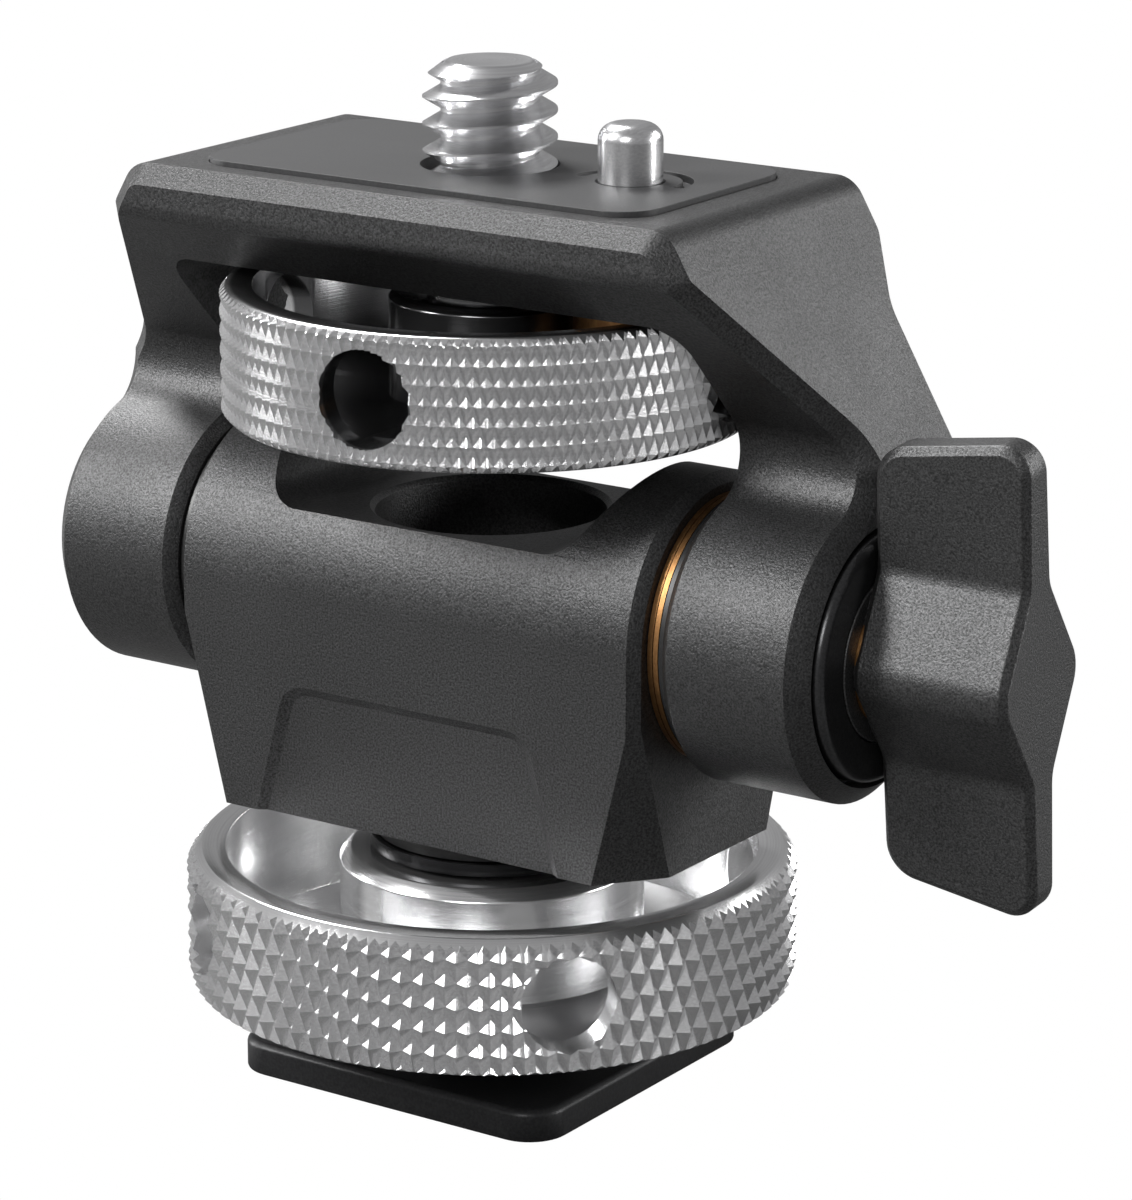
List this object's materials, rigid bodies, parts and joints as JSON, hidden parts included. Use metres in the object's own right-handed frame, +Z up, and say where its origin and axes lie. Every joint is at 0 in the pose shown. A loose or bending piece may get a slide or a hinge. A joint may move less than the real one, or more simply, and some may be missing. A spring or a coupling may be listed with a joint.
{
  "type": "camera swivel and tilt mount",
  "caption": "Compact swivel and tilt mount: square shoe foot with a knurled clamping wheel, a swivelling body and a U-shaped tilt frame with a camera screw and locating pin.",
  "frame": {"origin": "centre of the shoe foot's underside, on the swivel axis", "axes": "+Z up along the swivel axis, +X along the tilt axis towards the clamp knob, -Y to the front"},
  "size_m": [0.0512, 0.0294, 0.0488],
  "materials": {
    "black_anodised": "sandblasted black anodised aluminium",
    "black_foot": "satin black anodised aluminium",
    "black_steel": "blackened steel, satin",
    "dark_steel": "oiled dark steel",
    "bright_steel": "bright turned steel",
    "spring_steel": "spring steel",
    "collar_silver": "satin aluminium",
    "knurled_silver": "bright aluminium, diamond knurled rim",
    "bronze": "phosphor bronze",
    "acetal": "black acetal",
    "grey_rubber": "smooth dark grey rubber",
    "rubber": "black rubber"
  },
  "bodies": {
    "foot": {"shoe_foot": "black_foot", "foot_screw": "dark_steel", "stem": "black_steel", "swivel_bolt": "dark_steel"},
    "shoe_clamp": {"clamp_plate": "black_steel", "clamp_pad": "rubber"},
    "lock_wheel_body": {"lock_wheel": "knurled_silver"},
    "swivel_body": {"body_block": "black_anodised", "swivel_thrust_washer": "acetal", "swivel_slip_washer": "bronze", "disc_spring_lower": "spring_steel", "disc_spring_upper": "spring_steel", "left_pivot_screw": "dark_steel", "left_wave_washer": "spring_steel", "left_friction_washer": "acetal", "right_pivot_stud": "bright_steel", "bronze_washer_inner": "bronze", "bronze_washer_outer": "bronze", "right_friction_washer": "acetal"},
    "tilting_frame": {"tilt_frame": "black_anodised", "left_bush": "bronze", "right_bush": "bronze", "rubber_pad": "grey_rubber", "pin_sleeve": "bronze", "pin_spring": "spring_steel", "screw_retainer": "spring_steel"},
    "pin_body": {"locating_pin": "bright_steel"},
    "screw_float": {"screw_thrust_washer": "acetal"},
    "camera_wheel_body": {"camera_wheel": "knurled_silver", "wheel_grub_screw": "dark_steel", "camera_screw": "bright_steel"},
    "knob_collar": {"knob_washer": "collar_silver"},
    "knob_body": {"knob": "black_anodised", "knob_insert": "bronze"}
  },
  "joints": [
    {"name": "clamp_slide", "type": "slide", "parent": "foot", "child": "shoe_clamp", "axis": [0, 0, -1], "range_m": [0, 0.0016]},
    {"name": "lock_wheel_turn", "type": "hinge", "parent": "shoe_clamp", "child": "lock_wheel_body", "pos_m": [0, 0, 0.0075], "axis": [0, 0, -1], "range_deg": [0, 576]},
    {"name": "body_swivel", "type": "hinge", "parent": "foot", "child": "swivel_body", "pos_m": [0, 0, 0.0127], "axis": [0, 0, 1], "continuous": true},
    {"name": "frame_tilt", "type": "hinge", "parent": "swivel_body", "child": "tilting_frame", "pos_m": [0, 0, 0.0238], "axis": [1, 0, 0], "range_deg": [-90, 90]},
    {"name": "pin_press", "type": "slide", "parent": "tilting_frame", "child": "pin_body", "axis": [0, 0, -1], "range_m": [0, 0.0027], "stiffness_N_per_m": 300, "springref_m": -0.002, "deforming": ["pin_spring"]},
    {"name": "screw_drop", "type": "slide", "parent": "tilting_frame", "child": "screw_float", "axis": [0, 0, -1], "range_m": [0, 0.0007]},
    {"name": "camera_wheel_turn", "type": "hinge", "parent": "screw_float", "child": "camera_wheel_body", "pos_m": [0, 0, 0.0352], "axis": [0, 0, 1], "continuous": true},
    {"name": "knob_back_off", "type": "slide", "parent": "swivel_body", "child": "knob_collar", "axis": [1, 0, 0], "range_m": [0, 0.0008]},
    {"name": "knob_turn", "type": "hinge", "parent": "knob_collar", "child": "knob_body", "pos_m": [0.0257, 0, 0.0238], "axis": [1, 0, 0], "range_deg": [0, 360]}
  ],
  "couplings": [
    {"joint": "lock_wheel_turn", "follows": "clamp_slide", "rad_per_m": 6283.2},
    {"joint": "knob_turn", "follows": "knob_back_off", "rad_per_m": 7854}
  ]
}
